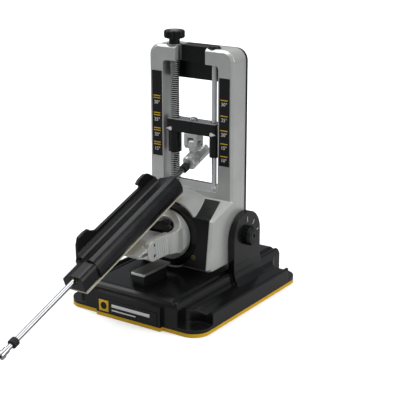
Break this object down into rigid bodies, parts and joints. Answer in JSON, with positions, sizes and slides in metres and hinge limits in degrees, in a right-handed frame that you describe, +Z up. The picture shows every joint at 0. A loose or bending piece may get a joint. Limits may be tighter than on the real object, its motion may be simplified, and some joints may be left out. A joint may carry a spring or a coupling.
{
  "type": "guided-rod honing stand",
  "caption": "Honing stand: a tilting window-frame tower with a screw-raised carriage, a rod that guides an abrasive plate over a turning blade clamp, and a wide padded base",
  "frame": {"origin": "Centre of the base's main rectangle, on the surface that the stand rests on", "axes": "+X to the user's right, +Y away from the user towards the tower's back, +Z up; the rod and the clamp point to -Y"},
  "size_m": [0.203, 0.4633, 0.3358],
  "materials": {
    "base_black": "semi-gloss black casting",
    "pad_yellow": "matt yellow rubber",
    "cast_silver": "satin cast aluminium",
    "black_plastic": "satin black",
    "black_gloss": "gloss black",
    "steel": "brushed steel",
    "chrome": "polished",
    "brass": "plain brass",
    "rubber": "matt black rubber",
    "jaw_metal": "machined aluminium",
    "abrasive": "diamond-grit plate",
    "white_mark": "white paint"
  },
  "bodies": {
    "base": {"foot_pad": "pad_yellow", "base_casting": "base_black", "nameplate": "black_gloss", "pad_screws": "steel", "reference_support": "black_plastic", "reference_plate": "steel", "tilt_shaft_left": "steel", "tilt_shaft_right": "steel", "tilt_washers": "black_plastic"},
    "lock_knob_l": {"lock_knob_left": "black_plastic", "lock_knob_screw_left": "steel"},
    "lock_knob_r": {"lock_knob_right": "black_plastic", "lock_knob_screw_right": "steel"},
    "tower": {"tower_casting": "cast_silver", "back_cover": "black_plastic", "cover_screws": "steel", "top_bridge": "black_plastic", "front_panel_left": "black_plastic", "front_panel_right": "black_plastic", "panel_screws": "brass", "shoulder_panel_left": "black_plastic", "shoulder_panel_right": "black_plastic", "hub_ring": "black_gloss", "scale_plate_left": "black_plastic", "scale_plate_right": "black_plastic", "screw_bush_top": "steel", "screw_bush_bottom": "steel", "guide_rod": "chrome", "guide_cap": "black_plastic"},
    "lead_screw": {"lead_screw": "chrome", "angle_knob": "black_plastic", "angle_knob_disc": "steel"},
    "carriage": {"carriage_body": "black_plastic", "carriage_plate": "steel", "lead_nut": "brass", "guide_bush": "brass", "carriage_pointers": "white_mark"},
    "swivel": {"swivel_bolt": "steel", "fork": "cast_silver", "fork_pin": "steel"},
    "rod_unit": {"rod_yoke": "jaw_metal", "rod": "chrome", "rod_neck": "chrome", "rod_bumper": "rubber", "rod_collar": "rubber", "rod_cap": "chrome"},
    "stone_slide": {"carrier_bush_upper": "brass", "carrier_bush_lower": "brass"},
    "stone_holder": {"carrier_body": "black_plastic", "finger_guard": "black_plastic", "stone_backing": "steel", "stone": "abrasive"},
    "clamp": {"clamp_frame": "cast_silver", "clamp_spindle": "steel", "spindle_nut": "steel", "jaw_pins": "steel"},
    "clamp_wheel": {"thumb_wheel": "black_gloss"},
    "clamp_wedge": {"jaw_wedge": "steel"},
    "upper_jaw": {"jaw_upper": "jaw_metal"},
    "lower_jaw": {"jaw_lower": "jaw_metal"}
  },
  "joints": [
    {"name": "tower_tilt", "type": "hinge", "parent": "base", "child": "tower", "pos_m": [0, 0.033, 0.082], "axis": [-1, 0, 0], "range_deg": [0, 40]},
    {"name": "lock_knob_left_turn", "type": "hinge", "parent": "base", "child": "lock_knob_l", "pos_m": [-0.078, 0.033, 0.082], "axis": [-1, 0, 0], "range_deg": [0, 360]},
    {"name": "lock_knob_right_turn", "type": "hinge", "parent": "base", "child": "lock_knob_r", "pos_m": [0.078, 0.033, 0.082], "axis": [1, 0, 0], "range_deg": [0, 360]},
    {"name": "angle_screw_turn", "type": "hinge", "parent": "tower", "child": "lead_screw", "pos_m": [-0.03, 0.02, 0.325], "axis": [0, 0, 1], "range_deg": [-217, 8641]},
    {"name": "carriage_lift", "type": "slide", "parent": "tower", "child": "carriage", "axis": [0, 0, 1], "range_m": [-0.0015, 0.06]},
    {"name": "rod_swing", "type": "hinge", "parent": "carriage", "child": "swivel", "pos_m": [0, 0.018, 0.216], "axis": [0, 0, 1], "range_deg": [-35, 35]},
    {"name": "rod_pitch", "type": "hinge", "parent": "swivel", "child": "rod_unit", "pos_m": [0, 0.018, 0.195], "axis": [-1, 0, 0], "range_deg": [0, 60]},
    {"name": "stone_stroke", "type": "slide", "parent": "rod_unit", "child": "stone_slide", "axis": [0, -0.9367, -0.3502], "range_m": [-0.022, 0.098]},
    {"name": "stone_roll", "type": "hinge", "parent": "stone_slide", "child": "stone_holder", "pos_m": [0, 0.02465, 0.1772], "axis": [0, -0.9367, -0.3502], "range_deg": [-12, 12]},
    {"name": "clamp_turn", "type": "hinge", "parent": "tower", "child": "clamp", "pos_m": [0, -0.04, 0.09], "axis": [0, -1, 0], "range_deg": [-20, 20]},
    {"name": "clamp_wheel_turn", "type": "hinge", "parent": "clamp", "child": "clamp_wheel", "pos_m": [0, -0.055, 0.09], "axis": [0, 1, 0], "range_deg": [-1, 721]},
    {"name": "wedge_travel", "type": "slide", "parent": "clamp", "child": "clamp_wedge", "axis": [0, 1, 0], "range_m": [0, 0.002]},
    {"name": "upper_jaw_open", "type": "hinge", "parent": "clamp", "child": "upper_jaw", "pos_m": [0, -0.0985, 0.0968], "axis": [-1, 0, 0], "range_deg": [-0.1, 5.1]},
    {"name": "lower_jaw_open", "type": "hinge", "parent": "clamp", "child": "lower_jaw", "pos_m": [0, -0.0985, 0.0832], "axis": [1, 0, 0], "range_deg": [-0.1, 5.1]}
  ],
  "couplings": [
    {"joint": "angle_screw_turn", "follows": "carriage_lift", "rad_per_m": 2513.3},
    {"joint": "clamp_wheel_turn", "follows": "wedge_travel", "rad_per_m": 6283.2},
    {"joint": "upper_jaw_open", "follows": "wedge_travel", "rad_per_m": 43.633},
    {"joint": "lower_jaw_open", "follows": "wedge_travel", "rad_per_m": 43.633}
  ]
}
